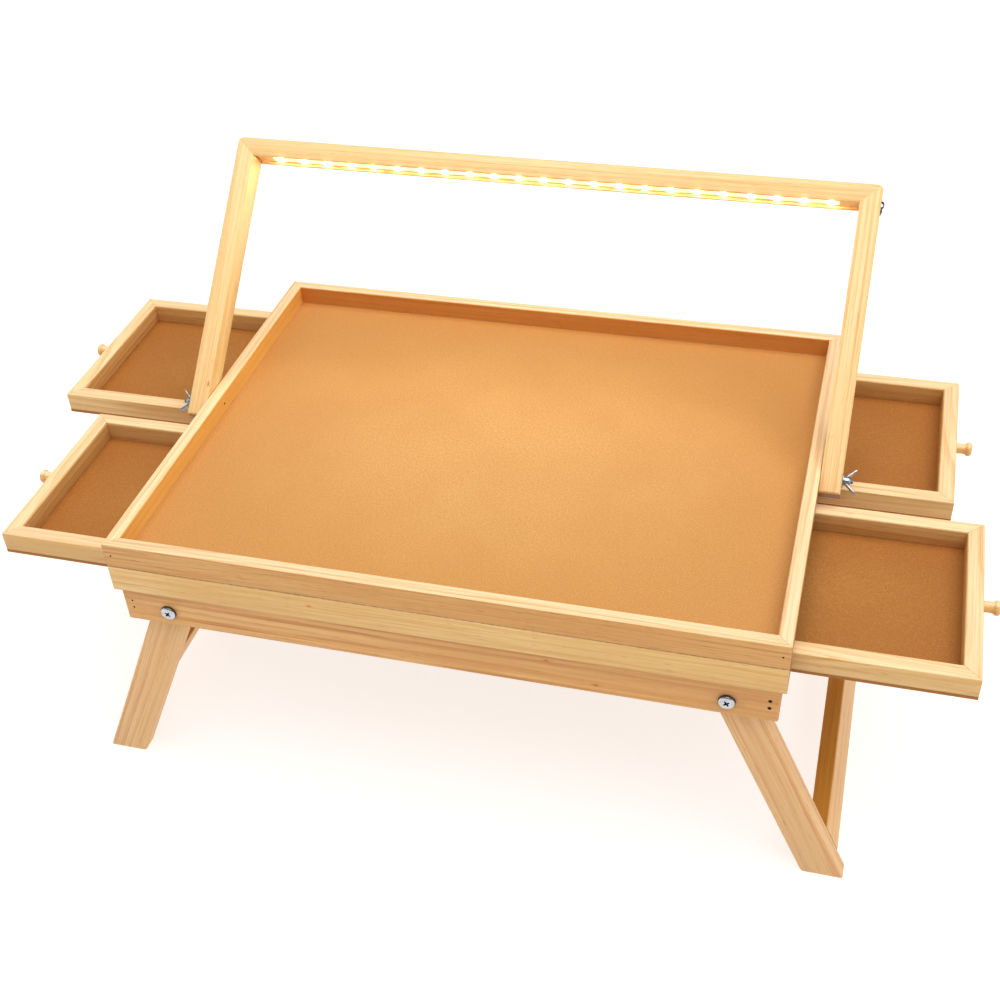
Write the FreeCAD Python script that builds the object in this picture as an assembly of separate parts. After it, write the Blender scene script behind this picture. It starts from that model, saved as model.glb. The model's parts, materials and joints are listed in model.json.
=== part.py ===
import FreeCAD, Part
import math
import os

from FreeCAD import Rotation, Vector

# A folding jigsaw table, in millimetres.  +Z is up, +X runs along the long side to the right and
# -Y faces the person who sits at it.  The origin is the centre of the puzzle board's top face.

# Overall sizes
TABLE_LENGTH = 810.0
TABLE_DEPTH = 630.0
TABLE_HEIGHT = 400.0          # floor to the top of the rim

# Tray: four mitred rails, rebated so that the board drops in from above
TRAY_RAIL_T = 17.0            # wall above the board
TRAY_RAIL_H = 34.0
TRAY_RECESS = 25.5            # rim above the board
TRAY_LEDGE = 6.0              # ledge under the board's edge
BOARD_T = 5.0
BOARD_PLAY = 0.1
RIM_EASE = 2.0

# Drawer case below the tray
CASE_RAIL_T = 20.0
CASE_H = 37.0
DIVIDER_T = 30.0
STOP_T = 18.0
RUNNER_T = 4.0
RUNNER_LEDGE = 14.0           # ledge under each side of a drawer
SIDE_PLAY = 2.0               # between a drawer and its guides
TOP_PLAY = 3.0                # between a drawer and the tray rail
STOP_PLAY = 2.0               # between a closed drawer and its stop
GUIDE_T = 10.0

# Apron frame that carries the legs
APRON_H = 53.0
APRON_INSET = 6.0
APRON_T = 18.0
APRON_END_T = 22.0
APRON_EASE = 3.0

# Drawers: mitred frame on a thin floor panel, with a turned knob
DRAWER_RAIL_T = 20.0
DRAWER_FLOOR_T = 4.0
DRAWER_EASE = 1.5
DRAWER_OUT = {                # how far each drawer stands out of the case
    "front_left": 163.0,
    "back_left": 233.0,
    "front_right": 198.0,
    "back_right": 161.0,
}
KNOB_LENGTH = 20.0
KNOB_NECK_R = 7.2
KNOB_BEAD_R = 8.9
KNOB_BEAD_W = 7.0
KNOB_BEAD_EASE = 2.4
KNOB_BITE = 12.0              # length of the neck that is glued into the drawer front

# Leg frames: two legs and a crossbar each, folding inwards on bolts
LEG_W = 48.0
LEG_T = 22.0
LEG_SPLAY = 24.0
LEG_EASE = 1.5
FOOT_EASE = 2.5
PIVOT_UP = 21.5               # leg bolt above the apron's lower edge
LEG_STOP_PLAY = 0.3           # between a splayed leg and the end apron
LEG_PLAY = 0.3                # between a leg and the long apron that it turns beside
CROSSBAR_T = 24.0
CROSSBAR_H = 42.0
CROSSBAR_UP = 28.0            # crossbar above the foot, along the leg
CROSSBAR_TENON_T = 9.0
CROSSBAR_TENON_W = 28.0
CROSSBAR_TENON_L = 34.0

# Fasteners
BOLT_R = 3.0
TURN_PLAY = 0.05              # radial play of a piece that turns on a bolt
PLAY = 0.05                   # radial play of a fixed pin in its hole
BOLT_HEAD_R = 9.8
BOLT_HEAD_H = 4.6
BOLT_HEAD_EASE = 1.6
NUT_FLATS = 10.0
NUT_H = 6.0
BOLT_TAIL = 2.0
NAIL_SIDE = 1.8               # the nails are square pins
NAIL_L = 32.0
NAIL_SUNK = 0.4
APRON_NAIL_PITCH = 11.0

# Lamp frame: two legs and a top rail, leaning back on two studs with wing nuts
LAMP_LEG_T = 26.0
LAMP_TOP_T = 25.0
LAMP_DEPTH = 32.0
LAMP_LENGTH = 392.0
LAMP_LEAN = 47.5
LAMP_PIVOT_UP = 20.5          # stud above the lower end of the lamp legs
LAMP_PIVOT_DROP = 14.3        # stud below the rim
LAMP_PIVOT_BACK = 4.0         # stud behind the middle of the tray
LAMP_CORNER_R = 7.0
LAMP_EASE = 2.5
LAMP_FOOT_EASE = 2.0
LAMP_PLAY = 0.3               # between a lamp leg and the tray
LAMP_WASHER_R = 9.0
LAMP_WASHER_T = 1.5
STUD_BITE = 14.0              # length of a stud inside the tray rail
STUD_TAIL = 3.0
LED_PITCH = 33.7
LED_END_ROOM = 30.0           # least room between the last lamp and a lamp leg
LED_SIDE = 5.0
LED_H = 1.5
LED_TAPE_W = 10.0
LED_TAPE_T = 0.6
LED_TAPE_END = 10.0           # tape beyond the last lamp
LED_GROOVE_END = 2.0          # groove stops short of a lamp leg
LED_GROOVE_LIP = 3.5          # wood left beside the groove, front and back
LED_GROOVE_D = 3.0

# Wing nut
WING_BOSS_R = 6.0
WING_BOSS_H = 8.5
WING_ROOT_R = 3.6             # root of a wing from the stud
WING_ROOT_RISE = 2.0          # root of a wing from the washer
WING_REACH = 16.0             # tip of a wing from the stud
WING_RISE = 15.5              # tip of a wing from the washer
WING_T = 2.4
WING_W = 8.0
WING_TIP_R = 3.0
WING_TURN = 53.0              # wings back from the vertical

# Strap on the outer side of the right lamp leg: a loop for the lead and a tail with a screw
CLIP_W = 6.0
CLIP_L = 16.6
CLIP_T = 1.0
CLIP_DROP = 17.0              # top of the strap below the top of the lamp
CLIP_LOOP_R = 4.6
CLIP_RISE = 3.8               # how far the loop stands out
CLIP_SCREW_R = 2.4
CLIP_SCREW_H = 0.9
CLIP_SCREW_SHANK_R = 1.0
CLIP_SCREW_L = 14.0

# Heights and half sizes that follow from them
HALF_X = TABLE_LENGTH / 2
HALF_Y = TABLE_DEPTH / 2
RIM_Z = TRAY_RECESS
TRAY_BOTTOM_Z = RIM_Z - TRAY_RAIL_H
CASE_BOTTOM_Z = TRAY_BOTTOM_Z - CASE_H
APRON_BOTTOM_Z = CASE_BOTTOM_Z - APRON_H
FLOOR_Z = RIM_Z - TABLE_HEIGHT
RUNNER_TOP_Z = CASE_BOTTOM_Z + RUNNER_T
DRAWER_TOP_Z = TRAY_BOTTOM_Z - TOP_PLAY
DRAWER_RAIL_Z = RUNNER_TOP_Z + DRAWER_FLOOR_T
DRAWER_RAIL_H = DRAWER_TOP_Z - DRAWER_RAIL_Z
DRAWER_LENGTH = HALF_X - STOP_T / 2 - STOP_PLAY
DRAWER_INNER_Y = DIVIDER_T / 2 + SIDE_PLAY
DRAWER_OUTER_Y = HALF_Y - CASE_RAIL_T - GUIDE_T - SIDE_PLAY
DRAWER_WIDTH = DRAWER_OUTER_Y - DRAWER_INNER_Y
APRON_X = HALF_X - APRON_INSET
APRON_Y = HALF_Y - APRON_INSET
PIVOT_Z = APRON_BOTTOM_Z + PIVOT_UP
SPLAY = math.radians(LEG_SPLAY)
LEG_STOP_X = APRON_X - APRON_END_T
PIVOT_X = LEG_STOP_X - (LEG_W / 2 + LEG_STOP_PLAY) / math.cos(SPLAY) - PIVOT_UP * math.tan(SPLAY)
LEG_OUTER_Y = APRON_Y - APRON_T - LEG_PLAY
LEG_INNER_Y = LEG_OUTER_Y - LEG_T
LEG_OUTER_LENGTH = (PIVOT_Z - FLOOR_Z + LEG_W / 2 * math.sin(SPLAY)) / math.cos(SPLAY)
CROSSBAR_TOP = LEG_OUTER_LENGTH - CROSSBAR_UP - CROSSBAR_H
LAMP_PIVOT = Vector(0, LAMP_PIVOT_BACK, RIM_Z - LAMP_PIVOT_DROP)
LAMP_INNER_X = HALF_X + LAMP_PLAY
LAMP_OUTER_X = LAMP_INNER_X + LAMP_LEG_T
LAMP_TOP = LAMP_LENGTH - LAMP_PIVOT_UP
LAMP_UNDER = LAMP_TOP - LAMP_TOP_T
LEDS_EACH_SIDE = int((LAMP_INNER_X - LED_END_ROOM) // LED_PITCH)

ORIGIN = Vector(0, 0, 0)
X = Vector(1, 0, 0)
Y = Vector(0, 1, 0)
Z = Vector(0, 0, 1)


# ---------------------------------------------------------------- helpers

def box(x, y, z):
    """A box from three (low, high) pairs."""
    size = [high - low for low, high in (x, y, z)]
    return Part.makeBox(*size, Vector(x[0], y[0], z[0]))


def rod(start, direction, radius, length):
    """A cylinder that starts at a point and runs along a direction."""
    return Part.makeCylinder(radius, length, start, direction)


def prism(points, direction):
    """A closed outline of straight sides, pushed along a direction."""
    wire = Part.makePolygon(points + points[:1])
    return Part.Face(wire).extrude(direction)


def turned(profile, centre, axis):
    """A closed profile of (radius, height) corners, turned about Z and laid along an axis."""
    corners = [Vector(radius, 0, height) for radius, height in profile]
    outline = Part.Face(Part.makePolygon(corners + corners[:1]))
    solid = Part.makeSolid(outline.revolve(ORIGIN, Z, 360).Shells[0])
    solid.Placement = FreeCAD.Placement(centre, Rotation(Z, axis))
    return solid


def edges_along(shape, direction, test):
    """Straight edges parallel to a direction whose middle passes a test."""
    found = []
    for edge in shape.Edges:
        if not isinstance(edge.Curve, Part.Line):
            continue
        run = edge.tangentAt(edge.FirstParameter)
        middle = edge.CenterOfMass
        if run.cross(direction).Length < 1e-6 and test(middle):
            found.append(edge)
    return found


def ease(shape, radius, direction, test):
    """Round the chosen straight edges of a wooden piece."""
    return shape.makeFillet(radius, edges_along(shape, direction, test))


def bevel(shape, size, direction, test):
    """Bevel the chosen straight edges of a wooden piece, and the arcs that carry them on."""
    return shape.makeChamfer(size, edges_along(shape, direction, test))


def close(a, b):
    return abs(a - b) < 1e-3


def mitred_rail(length, thickness, height):
    """A rail along X whose ends are cut at 45 degrees.

    Its outer face lies in the plane Y = 0, its body is on the +Y side and its foot is at Z = 0.
    """
    half = length / 2
    outline = [
        Vector(-half, 0, 0),
        Vector(half, 0, 0),
        Vector(half - thickness, thickness, 0),
        Vector(-half + thickness, thickness, 0),
    ]
    return prism(outline, Z * height)


def placed(shape, angle, x, y, z):
    """Turn a shape about Z through the origin, then move it."""
    moved = shape.copy()
    moved.rotate(ORIGIN, Z, angle)
    moved.translate(Vector(x, y, z))
    return moved


def mirrored(shape, normal):
    return shape.mirror(ORIGIN, normal)


def group(shapes):
    return Part.makeCompound(shapes)


def nail(x, face_y, z, play=0.0):
    """A square nail driven along +Y with its head sunk below a face, or with play its hole."""
    half = NAIL_SIDE / 2 + play
    sunk = NAIL_SUNK if play == 0 else 0
    return box(
        (x - half, x + half), (face_y + sunk, face_y + NAIL_L + play), (z - half, z + half)
    )


def both_sides(shape, normal):
    """A piece and its mirror image as two separate solids of one node."""
    return group([shape, mirrored(shape, normal)])


def four_corners(shape):
    return group([both_sides(shape, X), mirrored(both_sides(shape, X), Y)])


# ---------------------------------------------------------------- tray

def tray_rail(length):
    """A mitred rail whose rebate leaves a wall beside the board and a ledge under it."""
    rail = mitred_rail(length, TRAY_RAIL_T + TRAY_LEDGE, TRAY_RAIL_H)
    half = length / 2
    rebate = box(
        (-half, half),
        (TRAY_RAIL_T, TRAY_RAIL_T + TRAY_LEDGE),
        (TRAY_RAIL_H - TRAY_RECESS - BOARD_T, TRAY_RAIL_H),
    )
    return ease(rail.cut(rebate), RIM_EASE, X, lambda p: close(p.z, TRAY_RAIL_H))


def tray():
    pieces = {}
    long_rail = tray_rail(TABLE_LENGTH)
    short_rail = tray_rail(TABLE_DEPTH)
    bite = rod(LAMP_PIVOT + X * (HALF_X - STUD_BITE), X, BOLT_R + PLAY, STUD_BITE)
    pieces["tray_rail_front"] = placed(long_rail, 0, 0, -HALF_Y, TRAY_BOTTOM_Z)
    pieces["tray_rail_back"] = placed(long_rail, 180, 0, HALF_Y, TRAY_BOTTOM_Z)
    pieces["tray_rail_right"] = placed(short_rail, 90, HALF_X, 0, TRAY_BOTTOM_Z).cut(bite)
    pieces["tray_rail_left"] = mirrored(pieces["tray_rail_right"], X)
    holes = four_corners(tray_nail(PLAY))
    for name in list(pieces):
        pieces[name] = pieces[name].cut(holes)
    reach_x = HALF_X - TRAY_RAIL_T - BOARD_PLAY
    reach_y = HALF_Y - TRAY_RAIL_T - BOARD_PLAY
    pieces["tray_board"] = box((-reach_x, reach_x), (-reach_y, reach_y), (-BOARD_T, 0))
    pieces["tray_nails"] = four_corners(tray_nail())
    return pieces


def tray_nail(play=0.0):
    """One nail through the mitre of the front right corner."""
    return nail(HALF_X - TRAY_RAIL_T / 2, -HALF_Y, RIM_Z - TRAY_RAIL_H / 2, play)


# ---------------------------------------------------------------- drawer case

def drawer_case():
    pieces = {}
    span_z = (CASE_BOTTOM_Z, TRAY_BOTTOM_Z)
    front = box((-HALF_X, HALF_X), (-HALF_Y, -HALF_Y + CASE_RAIL_T), span_z)
    pieces["case_rail_front"] = front
    pieces["case_rail_back"] = mirrored(front, Y)

    # The divider stands under the board and is notched for the end rails of the tray.
    notch = HALF_X - TRAY_RAIL_T - TRAY_LEDGE
    outline = [
        Vector(-HALF_X, -DIVIDER_T / 2, RUNNER_TOP_Z),
        Vector(HALF_X, -DIVIDER_T / 2, RUNNER_TOP_Z),
        Vector(HALF_X, -DIVIDER_T / 2, TRAY_BOTTOM_Z),
        Vector(notch, -DIVIDER_T / 2, TRAY_BOTTOM_Z),
        Vector(notch, -DIVIDER_T / 2, -BOARD_T),
        Vector(-notch, -DIVIDER_T / 2, -BOARD_T),
        Vector(-notch, -DIVIDER_T / 2, TRAY_BOTTOM_Z),
        Vector(-HALF_X, -DIVIDER_T / 2, TRAY_BOTTOM_Z),
    ]
    pieces["case_divider"] = prism(outline, Y * DIVIDER_T)

    case_inner = HALF_Y - CASE_RAIL_T
    stop = box(
        (-STOP_T / 2, STOP_T / 2), (DIVIDER_T / 2, case_inner - GUIDE_T), (RUNNER_TOP_Z, -BOARD_T)
    )
    pieces["drawer_stops"] = both_sides(stop, Y)

    # The side runner is an L: a guide beside the drawer and a ledge under it.
    guide = case_inner - GUIDE_T
    ledge = DRAWER_OUTER_Y - (RUNNER_LEDGE - SIDE_PLAY)
    profile = [
        Vector(-HALF_X, case_inner, CASE_BOTTOM_Z),
        Vector(-HALF_X, case_inner, DRAWER_TOP_Z),
        Vector(-HALF_X, guide, DRAWER_TOP_Z),
        Vector(-HALF_X, guide, RUNNER_TOP_Z),
        Vector(-HALF_X, ledge, RUNNER_TOP_Z),
        Vector(-HALF_X, ledge, CASE_BOTTOM_Z),
    ]
    pieces["drawer_runners_side"] = both_sides(prism(profile, X * TABLE_LENGTH), Y)
    half = DIVIDER_T / 2 + RUNNER_LEDGE
    pieces["drawer_runner_centre"] = box(
        (-HALF_X, HALF_X), (-half, half), (CASE_BOTTOM_Z, RUNNER_TOP_Z)
    )
    return pieces


# ---------------------------------------------------------------- apron

def apron_nail(play=0.0):
    """Two nails through the front apron into the end of the right one."""
    x = APRON_X - APRON_END_T / 2
    middle = CASE_BOTTOM_Z - APRON_H / 2
    half_pitch = APRON_NAIL_PITCH / 2
    return group([nail(x, -APRON_Y, middle + rise, play) for rise in (-half_pitch, half_pitch)])


def apron():
    pieces = {}
    span_z = (APRON_BOTTOM_Z, CASE_BOTTOM_Z)
    front = box((-APRON_X, APRON_X), (-APRON_Y, -APRON_Y + APRON_T), span_z)
    front = ease(
        front, APRON_EASE, X, lambda p: close(p.z, APRON_BOTTOM_Z) and close(p.y, -APRON_Y)
    )
    front = bevel(front, APRON_EASE / 2, Z, lambda p: close(p.y, -APRON_Y))
    bore = rod(Vector(PIVOT_X, -APRON_Y, PIVOT_Z), Y, BOLT_R + PLAY, APRON_T)
    front = front.cut(both_sides(bore, X))
    right = box(
        (APRON_X - APRON_END_T, APRON_X), (-APRON_Y + APRON_T, APRON_Y - APRON_T), span_z
    )
    right = ease(
        right, APRON_EASE, Y, lambda p: close(p.z, APRON_BOTTOM_Z) and close(p.x, APRON_X)
    )
    pieces["apron_front"] = front
    pieces["apron_back"] = mirrored(front, Y)
    pieces["apron_right"] = right
    pieces["apron_left"] = mirrored(right, X)
    holes = four_corners(apron_nail(PLAY))
    for name in list(pieces):
        pieces[name] = pieces[name].cut(holes)
    pieces["apron_nails"] = four_corners(apron_nail())
    return pieces


# ---------------------------------------------------------------- legs

def along_leg(distance, across):
    """A point of the right leg frame, from the bolt down the leg and outwards across it."""
    x = PIVOT_X + distance * math.sin(SPLAY) + across * math.cos(SPLAY)
    z = PIVOT_Z - distance * math.cos(SPLAY) + across * math.sin(SPLAY)
    return Vector(x, 0, z)


def on_leg(shape):
    """Carry a piece drawn on an upright leg, its bolt at the origin, to the right leg frame."""
    shape.rotate(ORIGIN, Y, -LEG_SPLAY)
    shape.translate(Vector(PIVOT_X, 0, PIVOT_Z))
    return shape


def front_right_leg():
    """A leg with a round head about its bolt and a foot cut parallel to the floor."""
    half = LEG_W / 2
    inner_length = (PIVOT_Z - FLOOR_Z - half * math.sin(SPLAY)) / math.cos(SPLAY)
    outer_head = along_leg(0, half)
    inner_head = along_leg(0, -half)
    outer_foot = along_leg(LEG_OUTER_LENGTH, half)
    inner_foot = along_leg(inner_length, -half)
    wire = Part.Wire([
        Part.makeLine(inner_foot, inner_head),
        Part.Arc(inner_head, along_leg(-half, 0), outer_head).toShape(),
        Part.makeLine(outer_head, outer_foot),
        Part.makeLine(outer_foot, inner_foot),
    ])
    leg = Part.Face(wire).extrude(Y * LEG_T)
    leg = bevel(leg, FOOT_EASE, Y, lambda p: close(p.z, FLOOR_Z))
    down = along_leg(1, 0) - along_leg(0, 0)
    leg = bevel(leg, LEG_EASE, down, lambda p: True)
    leg.translate(Vector(0, -LEG_OUTER_Y, 0))
    bore = rod(Vector(PIVOT_X, -LEG_OUTER_Y, PIVOT_Z), Y, BOLT_R + TURN_PLAY, LEG_T)
    return leg.cut(bore)


def crossbar_tenons(play=0.0):
    """The loose tenons in the two ends of the right crossbar, or with play their mortises."""
    middle_x = (LEG_W - CROSSBAR_T) / 2
    middle_z = -CROSSBAR_TOP - CROSSBAR_H / 2
    half_t = CROSSBAR_TENON_T / 2 + play
    half_l = CROSSBAR_TENON_L / 2 + play
    half_w = CROSSBAR_TENON_W / 2 + play
    tenon = box(
        (middle_x - half_t, middle_x + half_t),
        (-LEG_INNER_Y - half_l, -LEG_INNER_Y + half_l),
        (middle_z - half_w, middle_z + half_w),
    )
    return both_sides(on_leg(tenon), Y)


def leg_frames():
    pieces = {}
    mortises = crossbar_tenons(PLAY)
    front = front_right_leg().cut(mortises)
    bar = box(
        (LEG_W / 2 - CROSSBAR_T, LEG_W / 2),
        (-LEG_INNER_Y, LEG_INNER_Y),
        (-CROSSBAR_TOP - CROSSBAR_H, -CROSSBAR_TOP),
    )
    bar = bevel(bar, LEG_EASE, Y, lambda p: True)
    pieces["leg_front_right"] = front
    pieces["leg_back_right"] = mirrored(front, Y)
    pieces["crossbar_right"] = on_leg(bar).cut(mortises)
    pieces["crossbar_tenons_right"] = crossbar_tenons()
    for name in list(pieces):
        pieces[name.replace("right", "left")] = mirrored(pieces[name], X)
    return pieces


def leg_fasteners():
    """The bolt and nut of the front right leg, repeated at the four corners."""
    face = Vector(PIVOT_X, -APRON_Y, PIVOT_Z)
    length = APRON_T + LEG_PLAY + LEG_T + NUT_H + BOLT_TAIL
    corners = [
        (0, -length),
        (BOLT_R, -length),
        (BOLT_R, 0),
        (BOLT_HEAD_R, 0),
        (BOLT_HEAD_R, BOLT_HEAD_H - BOLT_HEAD_EASE),
        (BOLT_HEAD_R - BOLT_HEAD_EASE, BOLT_HEAD_H),
        (0, BOLT_HEAD_H),
    ]
    bolt = turned(corners, face, -Y)
    corner_r = NUT_FLATS / math.sqrt(3)
    corners = []
    for index in range(6):
        angle = math.radians(60 * index)
        x = PIVOT_X + corner_r * math.cos(angle)
        corners.append(Vector(x, -LEG_INNER_Y, PIVOT_Z + corner_r * math.sin(angle)))
    nut = prism(corners, Y * NUT_H).cut(rod(face, Y, BOLT_R + PLAY, length))
    return {"leg_bolts": four_corners(bolt), "leg_nuts": four_corners(nut)}


# ---------------------------------------------------------------- drawers

def knob(centre, direction):
    """A turned knob: a neck let into the drawer front and a bead with an eased face."""
    neck_end = KNOB_LENGTH - KNOB_BEAD_W
    corners = [
        (0, -KNOB_BITE),
        (KNOB_NECK_R, -KNOB_BITE),
        (KNOB_NECK_R, neck_end),
        (KNOB_BEAD_R, neck_end),
        (KNOB_BEAD_R, KNOB_LENGTH - KNOB_BEAD_EASE),
        (KNOB_BEAD_R - KNOB_BEAD_EASE, KNOB_LENGTH),
        (0, KNOB_LENGTH),
    ]
    return turned(corners, centre, direction)


def drawer(out):
    """A back right drawer that stands out of the case by the given distance."""
    outer_x = HALF_X + out
    middle_x = outer_x - DRAWER_LENGTH / 2
    middle_y = (DRAWER_INNER_Y + DRAWER_OUTER_Y) / 2
    end_rail = mitred_rail(DRAWER_WIDTH, DRAWER_RAIL_T, DRAWER_RAIL_H)
    side_rail = mitred_rail(DRAWER_LENGTH, DRAWER_RAIL_T, DRAWER_RAIL_H)
    end_rail, side_rail = [
        bevel(rail, DRAWER_EASE, X, lambda p: close(p.z, DRAWER_RAIL_H))
        for rail in (end_rail, side_rail)
    ]
    knob_centre = Vector(outer_x, middle_y, DRAWER_RAIL_Z + DRAWER_RAIL_H / 2)
    knob_hole = rod(knob_centre, -X, KNOB_NECK_R + PLAY, KNOB_BITE + PLAY)
    face = placed(end_rail, 90, outer_x, middle_y, DRAWER_RAIL_Z).cut(knob_hole)
    sides = [
        placed(side_rail, 0, middle_x, DRAWER_INNER_Y, DRAWER_RAIL_Z),
        placed(side_rail, 180, middle_x, DRAWER_OUTER_Y, DRAWER_RAIL_Z),
    ]
    floor = box(
        (outer_x - DRAWER_LENGTH, outer_x),
        (DRAWER_INNER_Y, DRAWER_OUTER_Y),
        (RUNNER_TOP_Z, DRAWER_RAIL_Z),
    )
    return {
        "face": face,
        "inner": placed(end_rail, -90, outer_x - DRAWER_LENGTH, middle_y, DRAWER_RAIL_Z),
        "sides": group(sides),
        "floor": floor,
        "knob": knob(knob_centre, X),
    }


def drawers():
    pieces = {}
    for place, out in DRAWER_OUT.items():
        for part, shape in drawer(out).items():
            if "front" in place:
                shape = mirrored(shape, Y)
            if "left" in place:
                shape = mirrored(shape, X)
            pieces[f"drawer_{place}_{part}"] = shape
    return pieces


# ---------------------------------------------------------------- lamp frame

def lean(shape):
    """Lean a piece of the upright lamp frame back about its studs."""
    moved = shape.copy()
    moved.rotate(ORIGIN, X, -LAMP_LEAN)
    moved.translate(LAMP_PIVOT)
    return moved


def lamp_arch():
    """The whole upright arch, its studs on the X axis, before it is cut at the mitres."""
    half = LAMP_DEPTH / 2
    depth = (-half, half)
    arch = box((-LAMP_OUTER_X, LAMP_OUTER_X), depth, (-LAMP_PIVOT_UP, LAMP_TOP))
    arch = ease(arch, LAMP_CORNER_R, Y, lambda p: close(p.z, LAMP_TOP))
    rim = [
        edge for edge in arch.Edges
        if close(abs(edge.CenterOfMass.y), half) and not close(edge.CenterOfMass.z, -LAMP_PIVOT_UP)
    ]
    arch = arch.makeChamfer(LAMP_EASE, rim)
    window = box((-LAMP_INNER_X, LAMP_INNER_X), depth, (-LAMP_PIVOT_UP, LAMP_UNDER))
    arch = arch.cut(window)
    return bevel(
        arch, LAMP_FOOT_EASE, X, lambda p: close(p.z, -LAMP_PIVOT_UP) and close(abs(p.y), half)
    )


def mitre_wedge():
    """The part of the arch that belongs to the top rail."""
    grow = LAMP_DEPTH
    slope = LAMP_TOP_T / LAMP_LEG_T
    y = -LAMP_DEPTH
    outline = [
        Vector(-LAMP_INNER_X, y, LAMP_UNDER),
        Vector(LAMP_INNER_X, y, LAMP_UNDER),
        Vector(LAMP_OUTER_X + grow, y, LAMP_TOP + grow * slope),
        Vector(-LAMP_OUTER_X - grow, y, LAMP_TOP + grow * slope),
    ]
    return prism(outline, Y * 2 * LAMP_DEPTH)


def lamp():
    arch = lamp_arch()
    wedge = mitre_wedge()
    groove_end = LAMP_INNER_X - LED_GROOVE_END
    groove_half = LAMP_DEPTH / 2 - LED_GROOVE_LIP
    groove = box(
        (-groove_end, groove_end),
        (-groove_half, groove_half),
        (LAMP_UNDER, LAMP_UNDER + LED_GROOVE_D),
    )
    clip, clip_screw, clip_hole = lamp_clip()
    right_half = box(
        (0, LAMP_OUTER_X), (-LAMP_DEPTH, LAMP_DEPTH), (-LAMP_LENGTH, LAMP_LENGTH)
    )
    bore = rod(X * LAMP_INNER_X, X, BOLT_R + TURN_PLAY, LAMP_LEG_T)
    right = arch.cut(wedge).common(right_half).cut(bore)
    roof = LAMP_UNDER + LED_GROOVE_D
    half_tape = LED_PITCH * LEDS_EACH_SIDE + LED_TAPE_END
    tape = box(
        (-half_tape, half_tape), (-LED_TAPE_W / 2, LED_TAPE_W / 2), (roof - LED_TAPE_T, roof)
    )
    chips = []
    for step in range(-LEDS_EACH_SIDE, LEDS_EACH_SIDE + 1):
        x = step * LED_PITCH
        chips.append(box(
            (x - LED_SIDE / 2, x + LED_SIDE / 2),
            (-LED_SIDE / 2, LED_SIDE / 2),
            (roof - LED_TAPE_T - LED_H, roof - LED_TAPE_T),
        ))
    upright = {
        "lamp_leg_left": mirrored(right, X),
        "lamp_leg_right": right.cut(clip_hole),
        "lamp_top_rail": arch.common(wedge).cut(groove),
        "lamp_led_tape": tape,
        "lamp_led_chips": group(chips),
        "lamp_clip": clip,
        "lamp_clip_screw": clip_screw,
    }
    return {name: lean(shape) for name, shape in upright.items()}


def lamp_clip():
    """A strap on the outer side of the right leg, its pan-head screw and the screw's hole."""
    top = LAMP_TOP - CLIP_DROP
    sunk = CLIP_LOOP_R - CLIP_RISE
    inner_r = CLIP_LOOP_R - CLIP_T
    centre = Vector(
        LAMP_OUTER_X - sunk, -CLIP_W / 2, top - math.sqrt(CLIP_LOOP_R ** 2 - sunk ** 2)
    )
    tail_top = centre.z - math.sqrt(inner_r ** 2 - sunk ** 2)
    depth = (-CLIP_W / 2, CLIP_W / 2)
    outside = box((LAMP_OUTER_X, LAMP_OUTER_X + CLIP_RISE), depth, (top - CLIP_L, top))
    loop = rod(centre, Y, CLIP_LOOP_R, CLIP_W).cut(rod(centre, Y, inner_r, CLIP_W))
    tail = box((LAMP_OUTER_X, LAMP_OUTER_X + CLIP_T), depth, (top - CLIP_L, tail_top))
    strap = loop.common(outside).fuse(tail).removeSplitter()
    seat = Vector(LAMP_OUTER_X + CLIP_T, 0, (top - CLIP_L + tail_top) / 2)
    corners = [
        (0, -CLIP_SCREW_L),
        (CLIP_SCREW_SHANK_R, -CLIP_SCREW_L),
        (CLIP_SCREW_SHANK_R, 0),
        (CLIP_SCREW_R, 0),
        (CLIP_SCREW_R, CLIP_SCREW_H),
        (0, CLIP_SCREW_H),
    ]
    screw = turned(corners, seat, X)
    hole = rod(seat, -X, CLIP_SCREW_SHANK_R + PLAY, CLIP_SCREW_L + PLAY)
    return strap.cut(hole), screw, hole


def lamp_fasteners():
    """Studs in the tray rails, with a washer outside each lamp leg."""
    length = STUD_BITE + LAMP_PLAY + LAMP_LEG_T + LAMP_WASHER_T + WING_BOSS_H + STUD_TAIL
    stud = rod(LAMP_PIVOT + X * (HALF_X - STUD_BITE), X, BOLT_R, length)
    face = LAMP_PIVOT + X * LAMP_OUTER_X
    washer = rod(face, X, LAMP_WASHER_R, LAMP_WASHER_T)
    washer = washer.cut(rod(face, X, BOLT_R + PLAY, LAMP_WASHER_T))
    return {"lamp_studs": both_sides(stud, X), "lamp_washers": both_sides(washer, X)}


def wing_nut():
    """A wing nut on the right stud: a round boss with two flat wings flared outwards."""
    boss = rod(ORIGIN, Z, WING_BOSS_R, WING_BOSS_H)
    root = Vector(WING_ROOT_R, -WING_W / 2, WING_ROOT_RISE)
    tip = Vector(WING_REACH, -WING_W / 2, WING_RISE)
    along = (tip - root).normalize()
    across = along.cross(Y) * WING_T
    wing = prism([root, tip, tip + across, root + across], Y * WING_W)
    wing = ease(wing, WING_TIP_R, across, lambda p: p.x > WING_REACH - WING_T)
    nut = boss.fuse([wing, mirrored(wing, X)]).removeSplitter()
    nut = nut.cut(rod(ORIGIN, Z, BOLT_R + TURN_PLAY, WING_BOSS_H))
    nut.rotate(ORIGIN, Y, 90)
    nut.rotate(ORIGIN, X, -WING_TURN)
    nut.translate(LAMP_PIVOT + X * (LAMP_OUTER_X + LAMP_WASHER_T))
    return nut


def wing_nuts():
    right = wing_nut()
    return {"wing_nut_right": right, "wing_nut_left": mirrored(right, X)}


# ---------------------------------------------------------------- the whole table

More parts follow.
